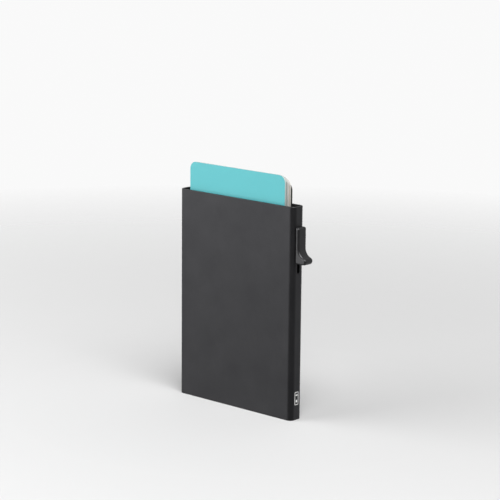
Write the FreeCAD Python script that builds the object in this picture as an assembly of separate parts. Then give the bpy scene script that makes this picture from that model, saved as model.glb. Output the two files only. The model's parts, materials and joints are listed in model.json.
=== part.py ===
"""Slim card wallet: an aluminium sleeve with a side lever that lifts a fan of cards.

Frame: millimetres, +Z up to the mouth, +X towards the lever, -Y the front face, +Y the
adhesive back.  The origin is the middle of the bottom cap's flat underside.  The model is
drawn with the lever at its upper stop and the cards lifted.
"""
import FreeCAD, Part
import math
import os
from FreeCAD import Vector

# ---------------------------------------------------------------- driving dimensions (mm)
# Sleeve: a flat extruded tube with rounded long edges
CASE_W = 65.0
CASE_D = 7.2
CASE_H = 92.0
WALL = 0.9
CASE_R = 2.2
RIM_CHAMFER = 0.15
SLOT_CHAMFER = 0.12

# Cards: ISO/IEC 7810 ID-1, standing on their short edge
CARD_W = 53.98
CARD_H = 85.60
CARD_T = 0.76
CARD_R = 3.18
FILM_T = 0.10
CARD_X = -0.5
CARD_FRONT_Y = -2.30
CARD_PITCH = 1.03
FIRST_CARD_ABOVE_MOUTH = 12.4
# From the front of the fan to the back: name, drop below the first card, has a chip, has a magnetic stripe
CARDS = [
    ("teal_card", 0.0, True, True),
    ("sage_card", 0.5, True, True),
    ("white_card", 1.0, False, False),
    ("cream_card", 1.9, False, True),
    ("black_card", 3.6, True, True),
]
# Contact plate and stripe places of an ID-1 card that stands on its left edge
CHIP_SIZE = (11.8, 13.0)
CHIP_FROM_LEFT = 23.9
CHIP_FROM_BOTTOM = 15.1
CHIP_R = 1.5
CHIP_T = 0.20
STRIPE_FROM_LEFT = (5.5, 15.8)
STRIPE_T = 0.05

# Lever travel, from the lowered stop to the raised stop
TRAVEL = 12.6

# Thumb lever, a boot shape seen from the front
LEVER_Z = 67.95
LEVER_H = 15.5
LEVER_D = 5.2
LEVER_GAP = 0.2
LEVER_SLAB = 2.05
LEVER_TOE = 5.85
NOSE_R = 1.45
SWEEP_R = 4.2
SWEEP_TURN = math.radians(68)
CROWN_R = 0.9
HEEL_R = 0.9
LEVER_EDGE_R = 0.85

# Slot in the right wall, and the carriage neck that runs in it
SLOT_W = 1.4
NECK_W = 1.1
NECK_H = 4.0
NECK_Z = 76.45
SLOT_END_GAP = 0.35
SOCKET_DEPTH = 0.9

# Slider track, carriage and lift bracket inside the right side
RUNNING_GAP = 0.10
TRACK_WEB_X = 26.85
TRACK_WEB_T = 0.90
TRACK_FLANGE_T = 0.35
TRACK_REACH_X = 30.5
TRACK_Z = (20.5, 86.2)
TRACK_END_T = 1.0
CARRIAGE_X = (28.9, 31.35)
CARRIAGE_Z = (70.0, 84.0)
CARRIAGE_R = 0.6
STRIP_T = 0.6
STRIP_W = 3.4
STRIP_TOP_Z = 80.5
STRIP_BEND_R = 1.0
SHELF_X = -18.0
FOOT_X = (-22.0, 26.3)
FOOT_BASE_T = 0.5
LEAF_T = 0.15
LEAF_W = 2.4
LEAF_BOW_HALF = 2.0
LEAF_PAST_RIVET = 1.2
RIVET_R = 0.5
RIVET_HEAD_R = 0.85
RIVET_HEAD_T = 0.22
RIVET_PLAY = 0.02
RIVET_COVER = 0.8
CARRIAGE_RIVET_Z = (76.0, 79.0)
FOOT_RIVET_X = (-15.0, 22.0)
FOOT_RIVET_HEAD_T = 0.42
FOOT_RIVET_COVER = 0.15
DETENT_Z = 72.4
DIMPLE_R = 0.7
DIMPLE_DEPTH = 0.25
DIMPLE_W = 2.8

# Bottom cap, guides, strips and stops
CAP_T = 1.2
CAP_GAP = 0.05
GUIDE_X = (-31.5, -27.85)
STRIP_SEAT = 0.40
GRIP_PROUD = 0.25
GRIP_W = 2.4
GRIP_Z = (24.0, 80.0)
FELT_X = 20.0
FELT_Z = (84.0, 88.0)
FRONT_FELT_T = 0.30
REAR_FELT_T = 0.10
STOP_GAP = 0.02
UPPER_STOP_W = 3.6
UPPER_STOP_R = 0.5
LOWER_STOP_X = (-10.0, 14.0)
LOWER_STOP_SIZE = (6.0, 3.0)
LOWER_STOP_R = 0.8

# Adhesive pad on the back, and the printed mark on the right side
PAD_W = 52.0
PAD_Z = (8.0, 84.0)
PAD_R = 3.0
FOAM_T = 0.80
GLUE_T = 0.10
MARK_W = 2.4
MARK_Z = (6.6, 12.3)
MARK_LINE = 0.28
MARK_R = 0.5
MARK_STRIPE_UP = (4.0, 4.6)
MARK_CHIP_W = 0.9
MARK_CHIP_UP = (1.1, 2.2)
MARK_CHIP_R = 0.15
INK_T = 0.03

# ---------------------------------------------------------------- values worked out from these
SIDE_X = CASE_W / 2
BACK_Y = CASE_D / 2
INNER_X = SIDE_X - WALL
INNER_Y = BACK_Y - WALL
TRACK_X = TRACK_WEB_X + TRACK_WEB_T
STRIP_X = CARRIAGE_X[0] - STRIP_T
FIRST_CARD_Z = CASE_H + FIRST_CARD_ABOVE_MOUTH - CARD_H
CARD_LOW_Z = [FIRST_CARD_Z - drop for _, drop, _, _ in CARDS]
SHELF_Z = CARD_LOW_Z[-1] - FOOT_BASE_T - STRIP_T
FOOT_Z = SHELF_Z + STRIP_T
LOWERED_SHELF_Z = SHELF_Z - TRAVEL

# How far a cutter runs past the surface it opens, and how close counts as touching
CLEAR = 1.0
TOUCH = 1e-6
AXES = {"x": Vector(1, 0, 0), "y": Vector(0, 1, 0), "z": Vector(0, 0, 1)}


# ---------------------------------------------------------------- shape helpers
def block(x, y, z):
    """Box between two values on each axis."""
    return Part.makeBox(x[1] - x[0], y[1] - y[0], z[1] - z[0], Vector(x[0], y[0], z[0]))


def edges_along(shape, axis):
    """Straight edges of a shape that run along one axis."""
    direction = AXES[axis]
    return [e for e in shape.Edges if abs(abs(e.tangentAt(e.FirstParameter).dot(direction)) - 1) < TOUCH]


def rounded_block(x, y, z, radius, along):
    """Box whose four edges along one axis are rounded."""
    box = block(x, y, z)
    return box.makeFillet(radius, edges_along(box, along))


def around(centre, size):
    """Range of a given size about a centre."""
    return (centre - size / 2, centre + size / 2)


def slot_cutter(x, width, z):
    """Long hole along X with round ends, its length along Z."""
    radius = width / 2
    body = block(x, around(0, width), (z[0] + radius, z[1] - radius))
    for end in (z[0] + radius, z[1] - radius):
        body = body.fuse(Part.makeCylinder(radius, x[1] - x[0], Vector(x[0], 0, end), AXES["x"]))
    return body.removeSplitter()


def rim_edges(shape, level):
    """All edges that lie in one horizontal plane."""
    return [e for e in shape.Edges if all(abs(v.Z - level) < TOUCH for v in e.Vertexes)]


# ---------------------------------------------------------------- case: everything that stays still
def case_tube():
    """Extruded sleeve, open at both ends, with the lever slot in its right wall."""
    tube = rounded_block(around(0, CASE_W), around(0, CASE_D), (0, CASE_H), CASE_R, "z")
    bore_z = (-CLEAR, CASE_H + CLEAR)
    bore = rounded_block((-INNER_X, INNER_X), (-INNER_Y, INNER_Y), bore_z, CASE_R - WALL, "z")
    tube = tube.cut(bore)
    tube = tube.makeChamfer(RIM_CHAMFER, rim_edges(tube, CASE_H) + rim_edges(tube, 0))
    slot_z = (NECK_Z - TRAVEL - SLOT_END_GAP, NECK_Z + NECK_H + SLOT_END_GAP)
    tube = tube.cut(slot_cutter((INNER_X - CLEAR, SIDE_X + CLEAR), SLOT_W, slot_z))
    slot_rim = [e for e in tube.Edges if is_slot_rim(e)]
    return tube.makeChamfer(SLOT_CHAMFER, slot_rim)


def is_slot_rim(edge):
    """True for an edge of the lever slot on the sleeve's outer face."""
    middle = edge.CenterOfMass
    inside_slot = abs(middle.y) <= SLOT_W / 2 + TOUCH and RIM_CHAMFER < middle.z < CASE_H - RIM_CHAMFER
    return inside_slot and all(abs(v.X - SIDE_X) < TOUCH for v in edge.Vertexes)


def bottom_cap():
    """Plug glued into the lower end of the sleeve, its underside flush with the rim."""
    x = (-INNER_X + CAP_GAP, INNER_X - CAP_GAP)
    y = (-INNER_Y + CAP_GAP, INNER_Y - CAP_GAP)
    return rounded_block(x, y, (0, CAP_T), CASE_R - WALL - CAP_GAP, "z")


def left_card_guide():
    """Rail that fills the left side beside the cards, grooved for its friction strip."""
    y = (-INNER_Y + CAP_GAP, INNER_Y - CAP_GAP)
    rail = rounded_block(GUIDE_X, y, (CAP_T, TRACK_Z[1]), CASE_R - WALL, "z")
    groove = block((GUIDE_X[1] - STRIP_SEAT, GUIDE_X[1] + CLEAR), around(0, GRIP_W), GRIP_Z)
    return rail.cut(groove)


def left_friction_strip():
    """Silicone strip that the left edges of the cards rub on."""
    return block((GUIDE_X[1] - STRIP_SEAT, GUIDE_X[1] + GRIP_PROUD), around(0, GRIP_W), GRIP_Z)


def slider_track():
    """Channel, open towards the right wall, that the carriage runs in."""
    outer_y = (-INNER_Y + CAP_GAP, INNER_Y - CAP_GAP)
    inner_y = (outer_y[0] + TRACK_FLANGE_T, outer_y[1] - TRACK_FLANGE_T)
    track = block((TRACK_WEB_X, TRACK_REACH_X), outer_y, TRACK_Z)
    track = track.cut(block((TRACK_X, SIDE_X), inner_y, (TRACK_Z[0] - CLEAR, TRACK_Z[1] - TRACK_END_T)))
    track = track.cut(block((TRACK_WEB_X - CLEAR, TRACK_WEB_X + STRIP_SEAT), around(0, GRIP_W), GRIP_Z))
    for z in (DETENT_Z, DETENT_Z - TRAVEL):
        centre = Vector(TRACK_X + DIMPLE_R - DIMPLE_DEPTH, -DIMPLE_W / 2, z)
        track = track.cut(Part.makeCylinder(DIMPLE_R, DIMPLE_W, centre, AXES["y"]))
    return track


def right_friction_strip():
    """Silicone strip in the track that the right edges of the cards rub on."""
    return block((TRACK_WEB_X - GRIP_PROUD, TRACK_WEB_X + STRIP_SEAT), around(0, GRIP_W), GRIP_Z)


def front_felt_strip():
    """Felt inside the mouth, glued to the front wall."""
    return block((-FELT_X, FELT_X), (-INNER_Y, -INNER_Y + FRONT_FELT_T), FELT_Z)


def rear_felt_strip():
    """Felt inside the mouth, glued to the back wall."""
    return block((-FELT_X, FELT_X), (INNER_Y - REAR_FELT_T, INNER_Y), FELT_Z)


def upper_stop_bumper():
    """Rubber pad at the top of the track that the carriage comes up against."""
    z = (CARRIAGE_Z[1] + STOP_GAP, TRACK_Z[1] - TRACK_END_T)
    return rounded_block((CARRIAGE_X[0], TRACK_REACH_X), around(0, UPPER_STOP_W), z, UPPER_STOP_R, "z")


def lower_stop_bumper():
    """Two rubber pads on the cap that the lift bracket comes down on."""
    y = around(0, LOWER_STOP_SIZE[1])
    z = (CAP_T, LOWERED_SHELF_Z - STOP_GAP)
    ranges = [around(x, LOWER_STOP_SIZE[0]) for x in LOWER_STOP_X]
    return Part.Compound([rounded_block(x, y, z, LOWER_STOP_R, "z") for x in ranges])


def mounting_foam():
    """Foam core of the double-sided pad on the back."""
    return rounded_block(around(0, PAD_W), (BACK_Y, BACK_Y + FOAM_T), PAD_Z, PAD_R, "y")


def mounting_adhesive():
    """Acrylic adhesive skin of the pad, the face that sticks to a phone."""
    y = (BACK_Y + FOAM_T, BACK_Y + FOAM_T + GLUE_T)
    return rounded_block(around(0, PAD_W), y, PAD_Z, PAD_R, "y")


def printed_mark():
    """Printed card pictogram on the right side: an outline, a stripe and a chip."""
    x = (SIDE_X, SIDE_X + INK_T)
    window_x = (x[0] - CLEAR, x[1] + CLEAR)
    window_y = around(0, MARK_W - 2 * MARK_LINE)
    window_z = (MARK_Z[0] + MARK_LINE, MARK_Z[1] - MARK_LINE)
    outline = rounded_block(x, around(0, MARK_W), MARK_Z, MARK_R, "x")
    window = rounded_block(window_x, window_y, window_z, MARK_R - MARK_LINE, "x")
    stripe_z = (MARK_Z[0] + MARK_STRIPE_UP[0], MARK_Z[0] + MARK_STRIPE_UP[1])
    stripe = block(x, around(0, MARK_W - 4 * MARK_LINE), stripe_z)
    chip_z = (MARK_Z[0] + MARK_CHIP_UP[0], MARK_Z[0] + MARK_CHIP_UP[1])
    chip = rounded_block(x, around(0, MARK_CHIP_W), chip_z, MARK_CHIP_R, "x")
    return Part.Compound([outline.cut(window), stripe, chip])


# ---------------------------------------------------------------- slider: everything the lever carries
def lever_profile():
    """Boot outline in the XZ plane: thin slab above, swept out to a round-nosed toe."""
    def point(out, up):
        return Vector(SIDE_X + out, 0, LEVER_Z + up)

    def arc(centre_out, centre_up, radius, start, end):
        angles = (start, (start + end) / 2, end)
        ends = [point(centre_out + radius * math.cos(a), centre_up + radius * math.sin(a)) for a in angles]
        return Part.Arc(*ends)

    quarter = math.pi / 2
    nose_out = LEVER_TOE - NOSE_R
    nose_top_out = nose_out + NOSE_R * math.cos(SWEEP_TURN)
    nose_top_up = NOSE_R + NOSE_R * math.sin(SWEEP_TURN)
    sweep_out = LEVER_SLAB + SWEEP_R * (1 - math.cos(SWEEP_TURN))
    ramp = (nose_top_out - sweep_out) / math.sin(SWEEP_TURN)
    sweep_up = nose_top_up + ramp * math.cos(SWEEP_TURN)
    sweep_start_up = sweep_up + SWEEP_R * math.sin(SWEEP_TURN)

    heel = arc(LEVER_GAP + HEEL_R, HEEL_R, HEEL_R, 2 * quarter, 3 * quarter)
    nose = arc(nose_out, NOSE_R, NOSE_R, -quarter, SWEEP_TURN)
    sweep = arc(LEVER_SLAB + SWEEP_R, sweep_start_up, SWEEP_R, 2 * quarter + SWEEP_TURN, 2 * quarter)
    crown = arc(LEVER_SLAB - CROWN_R, LEVER_H - CROWN_R, CROWN_R, 0, quarter)
    corners = [
        (point(LEVER_GAP + HEEL_R, 0), point(nose_out, 0)),
        (point(nose_top_out, nose_top_up), point(sweep_out, sweep_up)),
        (point(LEVER_SLAB, sweep_start_up), point(LEVER_SLAB, LEVER_H - CROWN_R)),
        (point(LEVER_SLAB - CROWN_R, LEVER_H), point(LEVER_GAP, LEVER_H)),
        (point(LEVER_GAP, LEVER_H), point(LEVER_GAP, HEEL_R)),
    ]
    lines = [Part.LineSegment(a, b) for a, b in corners]
    order = [heel, lines[0], nose, lines[1], sweep, lines[2], crown, lines[3], lines[4]]
    return Part.Face(Part.Wire([curve.toShape() for curve in order]))


def neck():
    """Tongue of the carriage that passes through the slot into the lever's socket."""
    x = (CARRIAGE_X[1], SIDE_X + LEVER_GAP + SOCKET_DEPTH)
    z = (NECK_Z, NECK_Z + NECK_H)
    return block(x, around(0, NECK_W), z)


def thumb_lever():
    """Moulded boot-shaped lever, its outline edges softened, socketed for the neck."""
    lever = lever_profile().extrude(Vector(0, LEVER_D, 0))
    lever.translate(Vector(0, -LEVER_D / 2, 0))
    inner_face_x = SIDE_X + LEVER_GAP
    rim = [e for e in lever.Edges if abs(abs(e.CenterOfMass.y) - LEVER_D / 2) < TOUCH]
    outline = [e for e in rim if e.CenterOfMass.x > inner_face_x + TOUCH]
    lever = lever.makeFillet(LEVER_EDGE_R, outline)
    return lever.cut(neck())


def rivet_holes(radius):
    """Two cylinders along X at the carriage rivets, stopping short of the carriage's outer face."""
    start = STRIP_X - LEAF_T
    reach = CARRIAGE_X[1] - RIVET_COVER - start
    return [Part.makeCylinder(radius, reach, Vector(start, 0, z), AXES["x"]) for z in CARRIAGE_RIVET_Z]


def slider_carriage():
    """Shoe that runs in the track and carries the neck."""
    half_width = INNER_Y - CAP_GAP - TRACK_FLANGE_T - RUNNING_GAP
    shoe = rounded_block(CARRIAGE_X, (-half_width, half_width), CARRIAGE_Z, CARRIAGE_R, "z")
    shoe = shoe.fuse(neck()).removeSplitter()
    for hole in rivet_holes(RIVET_R + RIVET_PLAY):
        shoe = shoe.cut(hole)
    return shoe


def lift_bracket():
    """Bent stainless strip: down the track from the carriage, then along under the foot."""
    y = around(0, STRIP_W)
    outer_x = STRIP_X + STRIP_T
    strip = block((SHELF_X, outer_x), y, (SHELF_Z, STRIP_TOP_Z))
    strip = strip.makeFillet(STRIP_BEND_R, [corner_edge(strip, outer_x, SHELF_Z)])
    inside = block((SHELF_X - CLEAR, STRIP_X), y, (FOOT_Z, STRIP_TOP_Z + CLEAR))
    inside = inside.makeFillet(STRIP_BEND_R - STRIP_T, [corner_edge(inside, STRIP_X, FOOT_Z)])
    strip = strip.cut(inside)
    for hole in rivet_holes(RIVET_R + RIVET_PLAY):
        strip = strip.cut(hole)
    for x in FOOT_RIVET_X:
        strip = strip.cut(foot_rivet(x, RIVET_PLAY))
    return strip


def corner_edge(shape, x, z):
    """The edge along Y that passes through one point of the XZ plane."""
    for edge in edges_along(shape, "y"):
        if abs(edge.CenterOfMass.x - x) < TOUCH and abs(edge.CenterOfMass.z - z) < TOUCH:
            return edge


def carriage_rivets():
    """Two rivets that clamp the detent leaf and the bracket to the carriage."""
    head_x = STRIP_X - LEAF_T - RIVET_HEAD_T
    rivets = []
    for shank, z in zip(rivet_holes(RIVET_R), CARRIAGE_RIVET_Z):
        head = Part.makeCone(RIVET_R, RIVET_HEAD_R, RIVET_HEAD_T, Vector(head_x, 0, z), AXES["x"])
        rivets.append(shank.fuse(head))
    return Part.Compound(rivets)


def detent_leaf():
    """Spring leaf riveted to the bracket, its bowed end riding on the track's web."""
    y = around(0, LEAF_W)
    flat_x = (STRIP_X - LEAF_T, STRIP_X)
    tip_x = TRACK_X + STOP_GAP
    bow_depth = flat_x[0] - tip_x
    bow_r = (LEAF_BOW_HALF**2 + bow_depth**2) / (2 * bow_depth)
    centre = Vector(tip_x + bow_r, y[0], DETENT_Z)
    bow = Part.makeCylinder(bow_r, LEAF_W, centre, AXES["y"])
    bow = bow.cut(Part.makeCylinder(bow_r - LEAF_T, LEAF_W, centre, AXES["y"]))
    bow = bow.common(block((tip_x - CLEAR, STRIP_X), y, around(DETENT_Z, 2 * LEAF_BOW_HALF)))
    flat = block(flat_x, y, (DETENT_Z + LEAF_BOW_HALF, CARRIAGE_RIVET_Z[1] + LEAF_PAST_RIVET))
    leaf = flat.fuse(bow)
    for hole in rivet_holes(RIVET_R + RIVET_PLAY):
        leaf = leaf.cut(hole)
    return leaf


def foot_rivet(x, play=0.0):
    """Countersunk rivet from under the shelf up into the foot."""
    start = Vector(x, 0, SHELF_Z)
    length = STRIP_T + FOOT_BASE_T - FOOT_RIVET_COVER
    head = Part.makeCone(RIVET_HEAD_R + play, RIVET_R + play, FOOT_RIVET_HEAD_T, start, AXES["z"])
    shank = Part.makeCylinder(RIVET_R + play, length, start, AXES["z"])
    return head.fuse(shank).removeSplitter()


def foot_rivets():
    """The two rivets that hold the foot on the bracket's shelf."""
    return Part.Compound([foot_rivet(x) for x in FOOT_RIVET_X])


def card_y(index):
    """Front and back of the card at one place in the fan, counted from the front."""
    front = CARD_FRONT_Y + index * CARD_PITCH
    return (front, front + CARD_T)


def card_z(index):
    """Lower and upper ends of the card at one place in the fan."""
    return (CARD_LOW_Z[index], CARD_LOW_Z[index] + CARD_H)


def stepped_foot():
    """Staircase that the cards stand on, one step down for each card from the front."""
    depth = INNER_Y - RUNNING_GAP
    half_gap = (CARD_PITCH - CARD_T) / 2
    foot = None
    for index in range(len(CARDS)):
        front = -depth if index == 0 else card_y(index)[0] - half_gap
        step = block(FOOT_X, (front, depth), (FOOT_Z, CARD_LOW_Z[index]))
        foot = step if foot is None else foot.fuse(step)
        if index < len(CARDS) - 1:
            above = card_y(index + 1)[0] - half_gap
            foot = foot.cut(block(FOOT_X, (above, depth), (CARD_LOW_Z[index + 1], FIRST_CARD_Z + CLEAR)))
    foot = foot.removeSplitter()
    for x in FOOT_RIVET_X:
        foot = foot.cut(foot_rivet(x, RIVET_PLAY))
    return foot


# ---------------------------------------------------------------- cards
def card_sheet(y, z):
    """Card outline between two depths."""
    return rounded_block(around(CARD_X, CARD_W), y, z, CARD_R, "y")


def card_nodes(index, name, has_chip, has_stripe):
    """White core, a coloured film on each face, and the chip and stripe let into them."""
    y = card_y(index)
    z = card_z(index)
    left = CARD_X - CARD_W / 2
    core = card_sheet((y[0] + FILM_T, y[1] - FILM_T), z)
    front = card_sheet((y[0], y[0] + FILM_T), z)
    back = card_sheet((y[1] - FILM_T, y[1]), z)
    nodes = {}
    if has_chip:
        x = around(left + CHIP_FROM_LEFT, CHIP_SIZE[0])
        chip_z = around(z[0] + CHIP_FROM_BOTTOM, CHIP_SIZE[1])
        chip = rounded_block(x, (y[0], y[0] + CHIP_T), chip_z, CHIP_R, "y")
        core = core.cut(chip)
        front = front.cut(chip)
        nodes[name + "_chip"] = chip
    if has_stripe:
        x = (left + STRIPE_FROM_LEFT[0], left + STRIPE_FROM_LEFT[1])
        stripe = block(x, (y[1] - STRIPE_T, y[1]), z)
        back = back.cut(stripe)
        nodes[name + "_stripe"] = stripe
    nodes[name + "_core"] = core
    nodes[name + "_front_film"] = front
    nodes[name + "_back_film"] = back
    return nodes


# ---------------------------------------------------------------- export
def build():
    """All nodes by name."""
    makers = [
        case_tube, bottom_cap, left_card_guide, left_friction_strip, slider_track, right_friction_strip,
        front_felt_strip, rear_felt_strip, upper_stop_bumper, lower_stop_bumper,
        mounting_foam, mounting_adhesive, printed_mark,
        thumb_lever, slider_carriage, lift_bracket, carriage_rivets, detent_leaf, stepped_foot, foot_rivets,
    ]
    nodes = {make.__name__: make() for make in makers}
    for index, (name, _, has_chip, has_stripe) in enumerate(CARDS):
        nodes.update(card_nodes(index, name, has_chip, has_stripe))
    return nodes


os.makedirs("parts", exist_ok=True)
for node_name, node_shape in build().items():
    if not node_shape.isValid():
        raise ValueError(node_name + " is not a valid solid")
    node_shape.exportStep("parts/" + node_name + ".step")
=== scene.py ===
"""Looks of the slim card wallet: finishes, small surface pieces, studio and camera.

Everything is in metres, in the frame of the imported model: +Z up to the card mouth, +X towards
the thumb lever, -Y out of the front face, the origin under the middle of the bottom cap.
"""

import json
import math
import random

import bmesh
import bpy
from mathutils import Matrix, Vector


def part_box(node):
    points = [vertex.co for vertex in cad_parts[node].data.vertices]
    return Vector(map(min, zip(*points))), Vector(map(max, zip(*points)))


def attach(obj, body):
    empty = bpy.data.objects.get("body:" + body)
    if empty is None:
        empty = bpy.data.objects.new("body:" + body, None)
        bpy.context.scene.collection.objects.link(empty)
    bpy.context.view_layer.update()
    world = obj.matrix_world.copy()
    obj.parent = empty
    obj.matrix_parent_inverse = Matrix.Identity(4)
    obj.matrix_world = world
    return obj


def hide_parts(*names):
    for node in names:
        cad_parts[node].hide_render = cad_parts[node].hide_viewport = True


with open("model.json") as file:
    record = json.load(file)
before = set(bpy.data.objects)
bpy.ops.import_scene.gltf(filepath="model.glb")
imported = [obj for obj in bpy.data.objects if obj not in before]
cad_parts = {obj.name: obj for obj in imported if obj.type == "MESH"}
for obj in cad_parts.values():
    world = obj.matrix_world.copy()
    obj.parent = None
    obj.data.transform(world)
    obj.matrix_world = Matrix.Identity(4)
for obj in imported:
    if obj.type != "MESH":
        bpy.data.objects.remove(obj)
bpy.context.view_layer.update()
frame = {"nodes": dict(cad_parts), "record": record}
random.seed(7)

MM = 0.001


# ---------------------------------------------------------------- camera
CAMERA_PLACE = Vector((0.5475, -0.6095, 0.2421))
CAMERA_YAW = math.radians(41.65)
CAMERA_TILT = math.radians(-11.94)
CAMERA_ROLL = math.radians(0.54)
CAMERA_LENS = 141.02
CAMERA_SENSOR = 36.0


def make_camera():
    """A long lens, a little above the wallet and towards its lever side."""
    data = bpy.data.cameras.new("camera")
    data.sensor_width = CAMERA_SENSOR
    data.lens = CAMERA_LENS
    camera = bpy.data.objects.new("camera", data)
    turn = Matrix.Rotation(CAMERA_YAW, 4, "Z") @ Matrix.Rotation(math.pi / 2 + CAMERA_TILT, 4, "X")
    camera.matrix_world = Matrix.Translation(CAMERA_PLACE) @ turn @ Matrix.Rotation(CAMERA_ROLL, 4, "Z")
    bpy.context.scene.collection.objects.link(camera)
    bpy.context.scene.camera = camera


# ---------------------------------------------------------------- material helpers
SCRATCHED_PATCH = 14 * MM
PATCH_EDGE = (0.42, 0.62)
SCRATCH_EDGE = 0.08
# Between these lie nearly all the values of a noise texture
NOISE_SPAN = (0.3, 0.7)


class Finish:
    """A Principled material, with short calls for the procedural detail on it."""

    def __init__(self, name, colour, roughness, metallic=0.0):
        self.material = bpy.data.materials.new(name)
        self.material.use_nodes = True
        self.tree = self.material.node_tree
        self.shader = self.tree.nodes["Principled BSDF"]
        self.shader.inputs["Base Color"].default_value = (*colour, 1.0)
        self.shader.inputs["Roughness"].default_value = roughness
        self.shader.inputs["Metallic"].default_value = metallic
        self.place = self.tree.nodes.new("ShaderNodeTexCoord").outputs["Object"]
        split = self.tree.nodes.new("ShaderNodeSeparateXYZ")
        self.link(self.place, split.inputs[0])
        self.x, self.y, self.z = split.outputs

    def link(self, source, target):
        """Feeds a socket from another socket, or sets it to a plain value."""
        if isinstance(source, bpy.types.NodeSocket):
            self.tree.links.new(source, target)
        elif isinstance(source, tuple):
            target.default_value = (*source, 1.0)
        else:
            target.default_value = source

    def maths(self, operation, *values):
        """One arithmetic step on values or sockets."""
        node = self.tree.nodes.new("ShaderNodeMath")
        node.operation = operation
        for value, socket in zip(values, node.inputs):
            self.link(value, socket)
        return node.outputs[0]

    def stretched(self, size, stretch, turn=(0, 0, 0)):
        """Object coordinates counted in steps of size metres, longer along some axes, turned first."""
        turned = self.tree.nodes.new("ShaderNodeMapping")
        turned.inputs["Rotation"].default_value = [math.radians(angle) for angle in turn]
        self.link(self.place, turned.inputs["Vector"])
        scaled = self.tree.nodes.new("ShaderNodeMapping")
        scaled.inputs["Scale"].default_value = [1 / (size * s) for s in stretch]
        self.link(turned.outputs[0], scaled.inputs["Vector"])
        return scaled.outputs[0]

    def noise(self, size, detail, stretch=(1, 1, 1), turn=(0, 0, 0)):
        """Smooth noise whose features are about size metres across."""
        texture = self.tree.nodes.new("ShaderNodeTexNoise")
        texture.inputs["Scale"].default_value = 1.0
        texture.inputs["Detail"].default_value = detail
        self.link(self.stretched(size, stretch, turn), texture.inputs["Vector"])
        return texture.outputs["Fac"]

    def cells(self, size):
        """Distances in a field of random cells about size metres across."""
        texture = self.tree.nodes.new("ShaderNodeTexVoronoi")
        texture.inputs["Scale"].default_value = 1.0
        self.link(self.stretched(size, (1, 1, 1)), texture.inputs["Vector"])
        return texture.outputs["Distance"]

    def ramp(self, value, start, end, low=0.0, high=1.0):
        """A value mapped from start..end to low..high, held at the ends."""
        node = self.tree.nodes.new("ShaderNodeMapRange")
        settings = {"Value": value, "From Min": start, "From Max": end, "To Min": low, "To Max": high}
        for key, setting in settings.items():
            self.link(setting, node.inputs[key])
        return node.outputs["Result"]

    def spread(self, value, low, high):
        """Noise opened out to run from low to high."""
        return self.ramp(value, *NOISE_SPAN, low, high)

    def near(self, value, level, reach):
        """1 where a value is at level, falling to 0 at a distance reach from it."""
        return self.ramp(self.maths("ABSOLUTE", self.maths("SUBTRACT", value, level)), 0.0, reach, 1.0, 0.0)

    def within(self, value, low, high, soft):
        """1 between two values, with soft ends."""
        rising = self.ramp(value, low - soft, low + soft)
        return self.maths("MULTIPLY", rising, self.ramp(value, high - soft, high + soft, 1.0, 0.0))

    def waves(self, value, pitch):
        """Sine of a value, one wave to each pitch."""
        return self.maths("SINE", self.maths("MULTIPLY", value, math.tau / pitch))

    def scratches(self, size, length, turn, rarity=0.62):
        """Sparse thin lines, a size across and a length long in sizes, turned about each axis."""
        lines = self.noise(size, 1.0, (1, 1, length), turn)
        patches = self.ramp(self.noise(SCRATCHED_PATCH, 2.0), *PATCH_EDGE)
        return self.maths("MULTIPLY", self.ramp(lines, rarity, rarity + SCRATCH_EDGE), patches)

    def blend(self, amount, first, second):
        """A colour between two, each a colour or a socket."""
        mix = self.tree.nodes.new("ShaderNodeMix")
        mix.data_type = "RGBA"
        self.link(amount, mix.inputs["Factor"])
        ends = [socket for socket in mix.inputs if socket.type == "RGBA"]
        self.link(first, ends[0])
        self.link(second, ends[1])
        return [socket for socket in mix.outputs if socket.type == "RGBA"][0]

    def share(self, value, amount):
        """Part of a value."""
        return self.maths("MULTIPLY", value, amount)

    def colour(self, source):
        """Feeds the base colour."""
        self.link(source, self.shader.inputs["Base Color"])

    def roughness(self, source):
        """Feeds the roughness."""
        self.link(source, self.shader.inputs["Roughness"])

    def set(self, **sockets):
        """Sets sockets of the shader that are the same all over."""
        for name, value in sockets.items():
            self.shader.inputs[name.replace("_", " ")].default_value = value

    def bump(self, height, depth):
        """Surface relief of a depth in metres, on top of any before it."""
        bump = self.tree.nodes.new("ShaderNodeBump")
        bump.inputs["Distance"].default_value = depth
        self.link(height, bump.inputs["Height"])
        last = self.shader.inputs["Normal"]
        if last.is_linked:
            self.link(last.links[0].from_socket, bump.inputs["Normal"])
        self.link(bump.outputs["Normal"], last)


# ---------------------------------------------------------------- finishes
CASE_LOW, CASE_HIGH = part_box("case_tube")
LEVER_LOW, LEVER_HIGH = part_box("thumb_lever")
RUBBED_EDGE = 0.35 * MM
THUMB_REST = 4.5 * MM
THUMB_DISH = 1.2 * MM
# How far in from the lever's flat sides the painted highlight reaches
PAINTED_FLANK_BAND = 0.15 * MM
PARTING_LINE = 0.05 * MM
SCRIM_PITCH = 0.9 * MM
SAFETY_LINE_PITCH = 0.9 * MM
DOT_PITCH = 0.16 * MM
WANDERS_ACROSS = 1.25
WAVES_UP = 30
FILM_ROUGHNESS = 0.34


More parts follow.
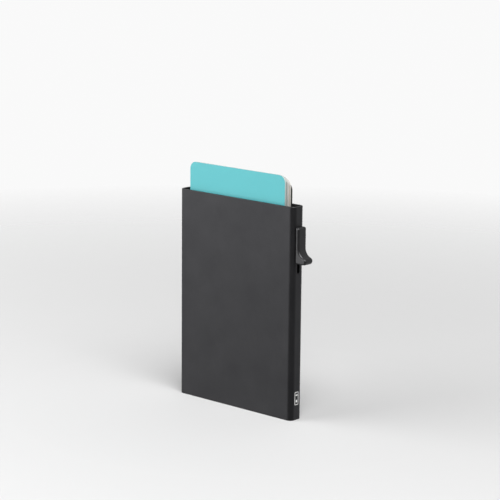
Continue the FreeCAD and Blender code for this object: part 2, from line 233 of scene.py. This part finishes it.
def anodised():
    """Black anodised aluminium: bead-blasted grain, cloudy dye, handling marks, edges rubbed paler."""
    finish = Finish("anodised_black", (0.06, 0.06, 0.064), 0.42, metallic=0.85)
    grain = finish.noise(0.13 * MM, 3.0)
    clouds = finish.spread(finish.noise(12 * MM, 4.0), 0, 1)
    dye = finish.blend(clouds, (0.054, 0.054, 0.058), (0.066, 0.066, 0.070))
    dye = finish.blend(finish.spread(grain, 0.0, 0.35), dye, (0.082, 0.082, 0.086))
    rubbed = finish.near(finish.z, CASE_HIGH.z, RUBBED_EDGE)
    rubbed = finish.maths("MAXIMUM", rubbed, finish.near(finish.z, CASE_LOW.z, RUBBED_EDGE))
    worn = finish.share(rubbed, finish.ramp(finish.noise(1.6 * MM, 5.0), 0.45, 0.65, 0.05, 0.5))
    dye = finish.blend(worn, dye, (0.13, 0.129, 0.127))
    marks = finish.scratches(0.09 * MM, 90, (0, 18, 0))
    marks = finish.maths("MAXIMUM", marks, finish.scratches(0.08 * MM, 70, (0, -52, 0), 0.65))
    finish.colour(finish.blend(finish.share(marks, 0.25), dye, (0.12, 0.12, 0.122)))
    smudges = finish.spread(finish.noise(7 * MM, 5.0, (1, 1, 1.6)), 0.39, 0.47)
    finish.roughness(finish.maths("ADD", smudges, finish.share(rubbed, 0.06)))
    finish.bump(grain, 0.010 * MM)
    finish.bump(finish.noise(0.5 * MM, 2.0, (1, 1, 40)), 0.003 * MM)
    return finish.material


def moulded_plastic():
    """Black engineering plastic with a spark-eroded texture and a trace of flow marks."""
    finish = Finish("black_plastic", (0.02, 0.02, 0.022), 0.45)
    grain = finish.noise(0.16 * MM, 3.0)
    flow = finish.spread(finish.noise(3 * MM, 4.0, (1, 1, 2.5)), 0, 1)
    finish.colour(finish.blend(flow, (0.02, 0.02, 0.022), (0.03, 0.03, 0.033)))
    finish.roughness(finish.spread(finish.noise(1.1 * MM, 4.0), 0.40, 0.50))
    finish.bump(grain, 0.010 * MM)
    finish.bump(finish.noise(2.2 * MM, 3.0, (1, 1, 3)), 0.004 * MM)
    return finish.material


def lever_finish():
    """Satin plastic, its two flat sides painted paler as a painted highlight, a worn thumb rest and a
    hairline parting line.
    """
    finish = Finish("lever_satin", (0.080, 0.080, 0.083), 0.42, metallic=0.85)
    grain = finish.noise(0.11 * MM, 3.0)
    tone = finish.spread(finish.noise(1.4 * MM, 4.0), 0, 1)
    tone = finish.blend(tone, (0.070, 0.070, 0.073), (0.084, 0.084, 0.087))
    # Painted highlight: both flat sides are painted paler, standing in for the light on the lever's front
    # face
    painted_flank_highlight = finish.near(finish.maths("ABSOLUTE", finish.y), LEVER_HIGH.y, PAINTED_FLANK_BAND)
    finish.colour(finish.blend(painted_flank_highlight, tone, (0.104, 0.104, 0.107)))
    finish.set(Specular_IOR_Level=0.3)
    thumb = finish.near(finish.z, LEVER_LOW.z + THUMB_REST, THUMB_REST)
    thumb = finish.share(thumb, finish.ramp(finish.x, LEVER_LOW.x + THUMB_DISH, LEVER_HIGH.x))
    dull = finish.spread(finish.noise(0.8 * MM, 4.0), 0.38, 0.46)
    finish.roughness(finish.maths("SUBTRACT", dull, finish.share(thumb, 0.08)))
    finish.bump(grain, 0.007 * MM)
    finish.bump(finish.near(finish.y, 0.0, PARTING_LINE), 0.012 * MM)
    return finish.material


def silicone():
    """Matte extruded rubber with lengthwise drawing lines and a dusting of lint."""
    finish = Finish("silicone_black", (0.03, 0.03, 0.03), 0.7)
    lint = finish.ramp(finish.noise(0.25 * MM, 4.0, (1, 1, 3)), 0.66, 0.72)
    finish.colour(finish.blend(finish.share(lint, 0.5), (0.028, 0.028, 0.028), (0.14, 0.14, 0.135)))
    finish.roughness(finish.spread(finish.noise(0.9 * MM, 3.0), 0.62, 0.78))
    finish.bump(finish.noise(0.07 * MM, 2.0, (1, 1, 60)), 0.010 * MM)
    return finish.material


def felt():
    """Short dark wool felt: tangled fibres in two directions."""
    finish = Finish("felt_black", (0.035, 0.035, 0.038), 0.95)
    tangle = finish.noise(0.05 * MM, 3.0, (6, 1, 1), (0, 35, 0))
    tangle = finish.maths("MAXIMUM", tangle, finish.noise(0.05 * MM, 3.0, (6, 1, 1), (0, -40, 0)))
    finish.colour(finish.blend(finish.spread(tangle, 0, 1), (0.018, 0.018, 0.02), (0.07, 0.07, 0.075)))
    finish.set(Sheen_Weight=0.35, Sheen_Roughness=0.5)
    finish.bump(tangle, 0.05 * MM)
    return finish.material


def foam():
    """Closed-cell polyethylene foam, its cut cells showing on the edge, their pits painted darker as
    painted shade.
    """
    finish = Finish("foam_black", (0.04, 0.04, 0.042), 0.8)
    cell = finish.cells(0.22 * MM)
    # Painted shade: the colour darkens towards the middle of each cell, where the bump sinks it into a pit
    finish.colour(finish.blend(finish.ramp(cell, 0.1, 0.6), (0.018, 0.018, 0.02), (0.075, 0.075, 0.08)))
    finish.bump(finish.ramp(cell, 0.0, 0.6), 0.06 * MM)
    return finish.material


def adhesive():
    """Tacky acrylic over a woven scrim: glossy, a little milky, with small trapped bubbles."""
    finish = Finish("acrylic_adhesive", (0.09, 0.09, 0.095), 0.26)
    warp = finish.waves(finish.x, SCRIM_PITCH)
    weft = finish.waves(finish.z, SCRIM_PITCH)
    scrim = finish.ramp(finish.maths("MAXIMUM", warp, weft), 0.55, 1.0)
    bubbles = finish.ramp(finish.cells(1.7 * MM), 0.10, 0.14, 1.0, 0.0)
    bubbles = finish.share(bubbles, finish.ramp(finish.noise(9 * MM, 3.0), 0.5, 0.6))
    tone = finish.blend(finish.share(scrim, 0.6), (0.066, 0.066, 0.07), (0.17, 0.17, 0.176))
    tone = finish.blend(finish.spread(finish.noise(16 * MM, 3.0), 0.0, 0.35), tone, (0.12, 0.12, 0.12))
    finish.colour(finish.blend(finish.share(bubbles, 0.65), tone, (0.28, 0.28, 0.29)))
    finish.roughness(finish.spread(finish.noise(3 * MM, 5.0), 0.20, 0.36))
    finish.bump(scrim, 0.012 * MM)
    finish.bump(finish.noise(1.3 * MM, 3.0), 0.03 * MM)
    finish.bump(bubbles, 0.03 * MM)
    return finish.material


def ink():
    """Pad-printed white ink, a little thin in places over the blasted metal."""
    finish = Finish("white_ink", (0.8, 0.8, 0.8), 0.5)
    thin = finish.ramp(finish.noise(0.14 * MM, 4.0), 0.5, 0.68)
    finish.colour(finish.blend(finish.share(thin, 0.45), (0.84, 0.84, 0.83), (0.42, 0.42, 0.43)))
    finish.roughness(finish.spread(finish.noise(0.2 * MM, 3.0), 0.42, 0.6))
    finish.bump(finish.noise(0.13 * MM, 3.0), 0.008 * MM)
    return finish.material


def brushed_steel():
    """Stainless strip with its rolling lines, and a few darker handling stains."""
    finish = Finish("brushed_steel", (0.56, 0.56, 0.57), 0.3, metallic=1.0)
    lines = finish.noise(0.04 * MM, 2.0, (1, 1, 80))
    stain = finish.spread(finish.noise(3 * MM, 4.0), 0.0, 0.5)
    tone = finish.blend(finish.spread(lines, 0, 1), (0.50, 0.50, 0.51), (0.62, 0.62, 0.63))
    finish.colour(finish.blend(stain, tone, (0.44, 0.43, 0.42)))
    finish.roughness(finish.spread(lines, 0.24, 0.42))
    finish.bump(lines, 0.004 * MM)
    return finish.material


def cut_plastic(name, colour, burr):
    """Die-cut edge of a card's core: shear marks across the sheet and a smeared, dusty tone."""
    finish = Finish(name, colour, 0.5)
    shear = finish.noise(0.07 * MM, 3.0, (1, 8, 1))
    finish.colour(finish.blend(finish.spread(shear, 0.0, 0.8), colour, burr))
    finish.roughness(finish.spread(finish.noise(0.6 * MM, 3.0), 0.42, 0.62))
    finish.bump(shear, 0.012 * MM)
    return finish.material


def card_film(card, colour, tint):
    """Laminated card face: a dot screen over the tone, fine waves low down, and clear gloss."""
    low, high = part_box(card + "_card_front_film")
    finish = Finish(card + "_film", colour, FILM_ROUGHNESS)
    across = finish.maths("DIVIDE", finish.maths("SUBTRACT", finish.x, low.x), high.x - low.x)
    up = finish.maths("DIVIDE", finish.maths("SUBTRACT", finish.z, low.z), high.z - low.z)
    wander = finish.share(finish.waves(across, 1 / WANDERS_ACROSS), 0.035)
    fan = finish.maths("ADD", up, wander)
    wave = finish.ramp(finish.waves(fan, 1 / WAVES_UP), 0.55, 0.95)
    wave = finish.share(wave, finish.within(fan, 0.06, 0.62, 0.10))
    print_tone = finish.blend(finish.share(wave, 0.55), colour, tint)
    dots = finish.maths("MULTIPLY", finish.waves(finish.x, DOT_PITCH), finish.waves(finish.z, DOT_PITCH))
    print_tone = finish.blend(finish.ramp(dots, 0.2, 0.9, 0.0, 0.10), print_tone, tint)
    mottle = finish.spread(finish.noise(6 * MM, 5.0), 0.0, 0.10)
    finish.colour(finish.blend(mottle, print_tone, tint))
    scuffs = finish.scratches(0.07 * MM, 120, (0, 8, 0), 0.6)
    scuffs = finish.maths("MAXIMUM", scuffs, finish.scratches(0.07 * MM, 90, (0, -33, 0), 0.64))
    satin = finish.spread(finish.noise(2.5 * MM, 4.0), FILM_ROUGHNESS - 0.05, FILM_ROUGHNESS + 0.05)
    finish.roughness(finish.maths("ADD", satin, finish.share(scuffs, 0.16)))
    finish.set(Coat_Weight=0.25, Coat_Roughness=0.18)
    finish.bump(finish.noise(0.45 * MM, 3.0), 0.004 * MM)
    finish.bump(scuffs, -0.003 * MM)
    return finish.material


def gold():
    """Gold-plated contacts: rolled, faintly scratched by readers."""
    finish = Finish("gold_contacts", (0.83, 0.64, 0.30), 0.24, metallic=1.0)
    lines = finish.noise(0.05 * MM, 2.0, (1, 1, 60))
    tone = finish.blend(finish.spread(lines, 0, 1), (0.78, 0.58, 0.26), (0.88, 0.70, 0.36))
    tarnish = finish.spread(finish.noise(2 * MM, 4.0), 0.0, 0.4)
    finish.colour(finish.blend(tarnish, tone, (0.70, 0.50, 0.24)))
    finish.roughness(finish.spread(finish.noise(0.5 * MM, 4.0), 0.18, 0.34))
    finish.bump(lines, 0.003 * MM)
    return finish.material


def resin():
    """Brown epoxy glass in the grooves between a chip's contacts."""
    finish = Finish("groove_resin", (0.10, 0.075, 0.03), 0.5)
    weave = finish.noise(0.05 * MM, 2.0)
    finish.colour(finish.blend(finish.spread(weave, 0, 1), (0.07, 0.05, 0.02), (0.14, 0.105, 0.045)))
    finish.bump(weave, 0.006 * MM)
    return finish.material


def oxide():
    """Magnetic stripe: smooth brown-black oxide with swipe lines along it."""
    finish = Finish("oxide_stripe", (0.024, 0.018, 0.015), 0.26)
    swipes = finish.noise(0.06 * MM, 2.0, (1, 1, 150))
    tone = finish.blend(finish.spread(swipes, 0, 1), (0.018, 0.014, 0.012), (0.04, 0.032, 0.027))
    finish.colour(tone)
    finish.roughness(finish.spread(swipes, 0.2, 0.4))
    finish.bump(swipes, 0.003 * MM)
    return finish.material


def signature_paper():
    """Writable panel on a card's back, with fine diagonal safety lines."""
    finish = Finish("signature_panel", (0.74, 0.73, 0.70), 0.75)
    slant = finish.maths("ADD", finish.x, finish.z)
    line = finish.ramp(finish.waves(slant, SAFETY_LINE_PITCH), 0.6, 0.9)
    fibre = finish.spread(finish.noise(0.12 * MM, 4.0), 0.0, 0.5)
    tone = finish.blend(fibre, (0.76, 0.75, 0.72), (0.64, 0.63, 0.60))
    finish.colour(finish.blend(finish.share(line, 0.35), tone, (0.40, 0.46, 0.50)))
    finish.bump(finish.noise(0.1 * MM, 3.0), 0.008 * MM)
    return finish.material


# Printed tone of each card's films, and the tone of the pattern on it
CARD_TONES = {
    "teal": ((0.106, 0.555, 0.598), (0.155, 0.62, 0.66)),
    "sage": ((0.20, 0.26, 0.22), (0.31, 0.37, 0.32)),
    "white": ((0.78, 0.78, 0.76), (0.60, 0.66, 0.72)),
    "cream": ((0.70, 0.64, 0.50), (0.55, 0.47, 0.33)),
    "black": ((0.028, 0.028, 0.030), (0.075, 0.075, 0.08)),
}
RESIN = resin()
SIGNATURE_PAPER = signature_paper()
SLOT_FINISH = {
    "anodised_aluminium": anodised(),
    "black_plastic": moulded_plastic(),
    "lever_plastic": lever_finish(),
    "silicone": silicone(),
    "felt": felt(),
    "foam": foam(),
    "adhesive": adhesive(),
    "white_ink": ink(),
    "stainless_steel": brushed_steel(),
    "card_core": cut_plastic("card_core", (0.85, 0.84, 0.81), (0.64, 0.63, 0.60)),
    "black_core": cut_plastic("black_core", (0.036, 0.036, 0.034), (0.07, 0.068, 0.064)),
    "chip_contacts": gold(),
    "magnetic_stripe": oxide(),
}
for card_tone, (film_colour, film_tint) in CARD_TONES.items():
    SLOT_FINISH[card_tone + "_film"] = card_film(card_tone, film_colour, film_tint)


def dress_nodes():
    """Each CAD node that stays gets the finish of its slot."""
    for entry in frame["record"]["subparts"]:
        mesh = frame["nodes"][entry["node"]].data
        mesh.materials.clear()
        mesh.materials.append(SLOT_FINISH[entry["material_slot"]])


# ---------------------------------------------------------------- mesh helpers
LEAST_RADIUS = 0.01 * MM
CORNER_STEPS = 6
SMOOTH_ANGLE = math.radians(40)


def rounded_outline(x, z, radii, corner_steps, pitch):
    """Points round a rectangle between two x and two z values, its corners rounded one by one.

    The radii run from the high-x, high-z corner anticlockwise; a pitch divides the longer spans.
    """
    corners = ((x[1], z[1], -1, -1), (x[0], z[1], 1, -1), (x[0], z[0], 1, 1), (x[1], z[0], -1, 1))
    points = []
    for quarter, ((corner_x, corner_z, inward_x, inward_z), radius) in enumerate(zip(corners, radii)):
        for step in range(corner_steps + 1):
            angle = math.pi / 2 * (quarter + step / corner_steps)
            points.append(Vector((corner_x + inward_x * radius + radius * math.cos(angle), 0,
                                  corner_z + inward_z * radius + radius * math.sin(angle))))
    if not pitch:
        return points
    divided = []
    for start, end in zip(points, points[1:] + points[:1]):
        count = max(1, round((end - start).length / pitch))
        divided += [start.lerp(end, step / count) for step in range(count)]
    return divided


def add_plate(shape, x, z, radii, layers, material_index=0,
              corner_steps=CORNER_STEPS, pitch=None, rough=0.0):
    """Closed plate in the XZ plane, built of rings: each layer is (y, how far its edge is drawn in).

    Every point of a ring is drawn in at random as well, by up to rough.
    """
    rings = []
    for y, inset in layers:
        ring_x = (x[0] + inset, x[1] - inset)
        ring_z = (z[0] + inset, z[1] - inset)
        ring_radii = [max(radius - inset, LEAST_RADIUS) for radius in radii]
        ring = []
        for point in rounded_outline(ring_x, ring_z, ring_radii, corner_steps, pitch):
            inward = Vector((sum(x) / 2 - point.x, 0, sum(z) / 2 - point.z)).normalized()
            place = point + inward * random.uniform(0, rough)
            ring.append(shape.verts.new((place.x, y, place.z)))
        rings.append(ring)
    faces = [shape.faces.new(rings[0]), shape.faces.new(list(reversed(rings[-1])))]
    for lower, upper in zip(rings, rings[1:]):
        for here in range(len(lower)):
            after = (here + 1) % len(lower)
            faces.append(shape.faces.new((lower[after], lower[here], upper[here], upper[after])))
    for face in faces:
        face.material_index = material_index
    return faces


def finish_piece(name, shape, materials, body, replaced=()):
    """Turns a bmesh into a piece that rides on a body and stands for some CAD nodes."""
    bmesh.ops.recalc_face_normals(shape, faces=shape.faces)
    mesh = bpy.data.meshes.new(name)
    shape.to_mesh(mesh)
    shape.free()
    for material in materials:
        mesh.materials.append(material)
    mesh.shade_smooth()
    mesh.set_sharp_from_angle(angle=SMOOTH_ANGLE)
    piece = bpy.data.objects.new(name, mesh)
    bpy.context.scene.collection.objects.link(piece)
    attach(piece, body)
    if replaced:
        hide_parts(*replaced)


# ---------------------------------------------------------------- chips and signature panels
CHIP_CORNER = 1.5 * MM
CHIP_MARGIN = 0.1 * MM
CONTACT_GAP = 0.14 * MM
CONTACT_T = 0.05 * MM
CONTACT_SUNK = 0.01 * MM
CONTACT_BEVEL = (0.02 * MM, 0.03 * MM)
CONTACT_CORNER = 0.2 * MM
CENTRE_BAND = 0.32
CENTRE_CORNER = 0.5 * MM
CONTACTS_IN_ROW = 4


def contact_plate(card):
    """Chip module: a resin carrier with two rows of gold contacts and a wide centre pad."""
    low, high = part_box(card + "_chip")
    shape = bmesh.new()
    resin_front = low.y + CONTACT_T
    resin_layers = [(resin_front, 0.0), (high.y, 0.0)]
    add_plate(shape, (low.x, high.x), (low.z, high.z), [CHIP_CORNER] * 4, resin_layers, material_index=1)
    bevel_depth, bevel_inset = CONTACT_BEVEL
    face = [(low.y, bevel_inset), (low.y + bevel_depth, 0.0), (resin_front + CONTACT_SUNK, 0.0)]
    x = (low.x + CHIP_MARGIN, high.x - CHIP_MARGIN)
    z = (low.z + CHIP_MARGIN, high.z - CHIP_MARGIN)
    middle = (low.z + high.z) / 2
    band = (high.z - low.z) * CENTRE_BAND / 2
    add_plate(shape, x, (middle - band, middle + band), [CENTRE_CORNER] * 4, face)
    pitch = (x[1] - x[0]) / CONTACTS_IN_ROW
    for column in range(CONTACTS_IN_ROW):
        first = column == 0
        last = column == CONTACTS_IN_ROW - 1
        start = x[0] + column * pitch
        gap_before = 0 if first else CONTACT_GAP / 2
        gap_after = 0 if last else CONTACT_GAP / 2
        contact_x = (start + gap_before, start + pitch - gap_after)
        left = CHIP_CORNER if first else CONTACT_CORNER
        right = CHIP_CORNER if last else CONTACT_CORNER
        upper_z = (middle + band + CONTACT_GAP, z[1])
        lower_z = (z[0], middle - band - CONTACT_GAP)
        add_plate(shape, contact_x, upper_z, [right, left, CONTACT_CORNER, CONTACT_CORNER], face)
        add_plate(shape, contact_x, lower_z, [CONTACT_CORNER, CONTACT_CORNER, left, right], face)
    materials = [SLOT_FINISH["chip_contacts"], RESIN]
    finish_piece(card + "_contact_plate", shape, materials, card, [card + "_chip"])


PANEL_W = 9.5 * MM
PANEL_FROM_STRIPE = 4.0 * MM
PANEL_FROM_ENDS = (9.0 * MM, 16.0 * MM)
PANEL_T = 0.02 * MM
PANEL_SHOULDER = 0.6
PANEL_CORNER = 0.6 * MM
PANEL_BEVEL = 0.05 * MM


def signature_panel(card):
    """Writable panel beside the magnetic stripe on a card's back."""
    low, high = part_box(card + "_back_film")
    _, stripe_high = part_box(card + "_stripe")
    shape = bmesh.new()
    x = (stripe_high.x + PANEL_FROM_STRIPE, stripe_high.x + PANEL_FROM_STRIPE + PANEL_W)
    z = (low.z + PANEL_FROM_ENDS[0], high.z - PANEL_FROM_ENDS[1])
    layers = [(high.y, 0.0), (high.y + PANEL_T * PANEL_SHOULDER, 0.0), (high.y + PANEL_T, PANEL_BEVEL)]
    add_plate(shape, x, z, [PANEL_CORNER] * 4, layers)
    finish_piece(card + "_signature_panel", shape, [SIGNATURE_PAPER], card)


# ---------------------------------------------------------------- soft pieces
PAD_CORNER = 3.0 * MM
FOAM_PITCH = 0.22 * MM
FOAM_LAYERS = 6
FOAM_ROUGH = 0.09 * MM
FOAM_CORNER_STEPS = 10


def foam_pad():
    """Foam core of the pad: its cut edge is uneven where the cells are open."""
    low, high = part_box("mounting_foam")
    shape = bmesh.new()
    layers = [(low.y + (high.y - low.y) * step / FOAM_LAYERS, 0.0) for step in range(FOAM_LAYERS + 1)]
    add_plate(shape, (low.x, high.x), (low.z, high.z), [PAD_CORNER] * 4, layers,
              corner_steps=FOAM_CORNER_STEPS, pitch=FOAM_PITCH, rough=FOAM_ROUGH)
    finish_piece("foam_pad", shape, [SLOT_FINISH["foam"]], "case", ["mounting_foam"])


ADHESIVE_PITCH = 0.5 * MM
ADHESIVE_ROUGH = 0.02 * MM
ADHESIVE_CORNER_STEPS = 14
# How deep into the adhesive each ring of its rim lies, and how far it is drawn in
ADHESIVE_RIM = [(0.0, 0.0), (0.35, 0.0), (0.7, 0.08 * MM), (0.9, 0.25 * MM), (1.0, 0.7 * MM)]


def adhesive_face():
    """Adhesive skin of the pad: pressed thin at its rim, a hair proud inside it, faintly uneven."""
    low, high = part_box("mounting_adhesive")
    shape = bmesh.new()
    layers = [(low.y + (high.y - low.y) * depth, inset) for depth, inset in ADHESIVE_RIM]
    add_plate(shape, (low.x, high.x), (low.z, high.z), [PAD_CORNER] * 4, layers,
              corner_steps=ADHESIVE_CORNER_STEPS, pitch=ADHESIVE_PITCH, rough=ADHESIVE_ROUGH)
    materials = [SLOT_FINISH["adhesive"]]
    finish_piece("adhesive_face", shape, materials, "case", ["mounting_adhesive"])


FELT_PITCH = 0.2 * MM
FELT_HOLLOW = 0.3
FELT_SAG = 0.12 * MM
FIBRES = 420
FIBRE_SEAT = 0.15 * MM
FIBRE_GIRTH = 0.012 * MM
FIBRE_SIDES = 3
FIBRE_ROOTS = (0.2, 0.8)
# How far a fibre of stretch 1 leans sideways and out of the felt, and how far it rises, in mm
FIBRE_LEAN_X = (-0.25, 0.25)
FIBRE_LEAN_Y = (-0.02, 0.04)
FIBRE_RISE = 0.15
FIBRE_STRETCH = (0.8, 1.8)


def felt_strip(node, faces_back):
    """Felt inside the mouth: a lumpy nap with loose fibres standing along its upper edge."""
    low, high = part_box(node)
    thick = high.y - low.y
    wall, open_y, outward = (low.y, high.y, 1) if faces_back else (high.y, low.y, -1)
    shape = bmesh.new()
    profile = [(wall, low.z), (open_y, low.z)]
    rows = round((high.z - low.z) / FELT_PITCH)
    profile += [(open_y, low.z + (high.z - low.z) * row / rows) for row in range(1, rows)]
    profile += [(open_y, high.z), (wall, high.z)]
    columns = round((high.x - low.x) / FELT_PITCH)
    rings = []
    for column in range(columns + 1):
        x = low.x + (high.x - low.x) * column / columns
        ring = []
        for y, z in profile:
            sunk = random.uniform(0, FELT_HOLLOW * thick) if y == open_y else 0.0
            drop = random.uniform(0, FELT_SAG) if z == high.z else 0.0
            ring.append(shape.verts.new((x, y - outward * sunk, z - drop)))
        rings.append(ring)
    shape.faces.new(rings[0])
    shape.faces.new(list(reversed(rings[-1])))
    for near_ring, far_ring in zip(rings, rings[1:]):
        for here in range(len(profile)):
            after = (here + 1) % len(profile)
            shape.faces.new((near_ring[after], near_ring[here], far_ring[here], far_ring[after]))
    for _ in range(FIBRES):
        root_x = random.uniform(low.x, high.x)
        root_y = wall + outward * thick * random.uniform(*FIBRE_ROOTS)
        root = Vector((root_x, root_y, high.z - FIBRE_SEAT))
        lean_x = random.uniform(*FIBRE_LEAN_X)
        lean_y = outward * random.uniform(*FIBRE_LEAN_Y)
        lean = Vector((lean_x, lean_y, FIBRE_RISE)) * MM
        add_fibre(shape, root, lean * random.uniform(*FIBRE_STRETCH))
    finish_piece(node.replace("strip", "nap"), shape, [SLOT_FINISH["felt"]], "case", [node])


def add_fibre(shape, root, reach):
    """One tapered wool fibre, a thin closed spike."""
    turns = [math.tau * side / FIBRE_SIDES for side in range(FIBRE_SIDES)]
    base = [Vector((FIBRE_GIRTH * math.cos(turn), FIBRE_GIRTH * math.sin(turn), 0)) for turn in turns]
    ring = [shape.verts.new(root + place) for place in base]
    tip = shape.verts.new(root + reach)
    shape.faces.new(list(reversed(ring)))
    for here in range(FIBRE_SIDES):
        shape.faces.new((ring[here], ring[(here + 1) % FIBRE_SIDES], tip))


# ---------------------------------------------------------------- studio
FLOOR_HALF = 6.0
FLOOR_FADE = (0.10, 0.55)
LIGHT_AIM = Vector((0, 0, 0.05))
BACKDROP_LEVEL = 0.95
ROOM_LEVEL = 0.04
# Glows of the room: bearing and elevation of the middle, radius of the full part and of the whole, level
ROOM_GLOWS = [(-54, -8, 12, 38, 0.73), (184, -5, 25, 80, 0.46), (0, -90, 15, 70, 0.5)]
# Softboxes: name, bearing, elevation, distance, side, power in watts
SOFTBOXES = [("key", -46, 27, 0.6, 0.6, 2.6), ("top", 58, 54, 1.2, 0.8, 14.5)]


def make_floor():
    """Pale floor under the wallet, fading into the backdrop, and unseen by mirror reflections."""
    mesh = bpy.data.meshes.new("floor")
    shape = bmesh.new()
    bmesh.ops.create_grid(shape, x_segments=1, y_segments=1, size=FLOOR_HALF)
    shape.to_mesh(mesh)
    shape.free()
    floor = bpy.data.objects.new("floor", mesh)
    bpy.context.scene.collection.objects.link(floor)
    finish = Finish("floor", (0.8, 0.8, 0.8), 0.7)
    squares = [finish.maths("POWER", side, 2.0) for side in (finish.x, finish.y)]
    reach = finish.maths("SQRT", finish.maths("ADD", *squares))
    finish.link(finish.ramp(reach, *FLOOR_FADE, 1.0, 0.0), finish.shader.inputs["Alpha"])
    mesh.materials.append(finish.material)
    floor.visible_glossy = False


def toward(azimuth, elevation):
    """Direction at a bearing, 0 in front of the wallet and 90 at its lever side."""
    bearing = math.radians(azimuth)
    rise = math.radians(elevation)
    return Vector((math.sin(bearing) * math.cos(rise), -math.cos(bearing) * math.cos(rise), math.sin(rise)))


def area_light(name, azimuth, elevation, distance, size, watts):
    """A square softbox aimed at the middle of the wallet."""
    data = bpy.data.lights.new(name, "AREA")
    data.size = size
    data.energy = watts
    light = bpy.data.objects.new(name, data)
    away = toward(azimuth, elevation)
    light.location = LIGHT_AIM + away * distance
    light.rotation_euler = away.to_track_quat("Z", "Y").to_euler()
    light.visible_camera = False
    bpy.context.scene.collection.objects.link(light)


def make_world():
    """Pale backdrop for the eye; for the surfaces, a dim room with a few broad soft glows."""
    world = bpy.data.worlds.new("studio")
    world.use_nodes = True
    tree = world.node_tree
    tree.nodes.clear()
    where = tree.nodes.new("ShaderNodeTexCoord").outputs["Generated"]
    total = None
    for azimuth, elevation, inner, outer, level in ROOM_GLOWS:
        facing = tree.nodes.new("ShaderNodeVectorMath")
        facing.operation = "DOT_PRODUCT"
        facing.inputs[1].default_value = toward(azimuth, elevation)
        tree.links.new(where, facing.inputs[0])
        glow = tree.nodes.new("ShaderNodeMapRange")
        glow.interpolation_type = "SMOOTHSTEP"
        glow.inputs["From Min"].default_value = math.cos(math.radians(outer))
        glow.inputs["From Max"].default_value = math.cos(math.radians(inner))
        glow.inputs["To Max"].default_value = level
        tree.links.new(facing.outputs["Value"], glow.inputs["Value"])
        add = tree.nodes.new("ShaderNodeMath")
        add.inputs[1].default_value = ROOM_LEVEL
        if total:
            tree.links.new(total, add.inputs[1])
        tree.links.new(glow.outputs["Result"], add.inputs[0])
        total = add.outputs[0]
    shed = tree.nodes.new("ShaderNodeBackground")
    tree.links.new(total, shed.inputs["Color"])
    backdrop = tree.nodes.new("ShaderNodeBackground")
    backdrop.inputs["Color"].default_value = (BACKDROP_LEVEL, BACKDROP_LEVEL, BACKDROP_LEVEL, 1.0)
    rays = tree.nodes.new("ShaderNodeLightPath")
    mix = tree.nodes.new("ShaderNodeMixShader")
    tree.links.new(rays.outputs["Is Camera Ray"], mix.inputs["Fac"])
    tree.links.new(shed.outputs[0], mix.inputs[1])
    tree.links.new(backdrop.outputs[0], mix.inputs[2])
    out = tree.nodes.new("ShaderNodeOutputWorld")
    tree.links.new(mix.outputs[0], out.inputs["Surface"])
    bpy.context.scene.world = world


make_camera()
make_floor()
make_world()
for softbox in SOFTBOXES:
    area_light(*softbox)
bpy.context.scene.view_settings.view_transform = "Standard"
dress_nodes()
for card_name in ("teal_card", "sage_card", "black_card"):
    contact_plate(card_name)
for card_name in ("teal_card", "sage_card", "cream_card", "black_card"):
    signature_panel(card_name)
foam_pad()
adhesive_face()
felt_strip("front_felt_strip", faces_back=True)
felt_strip("rear_felt_strip", faces_back=False)
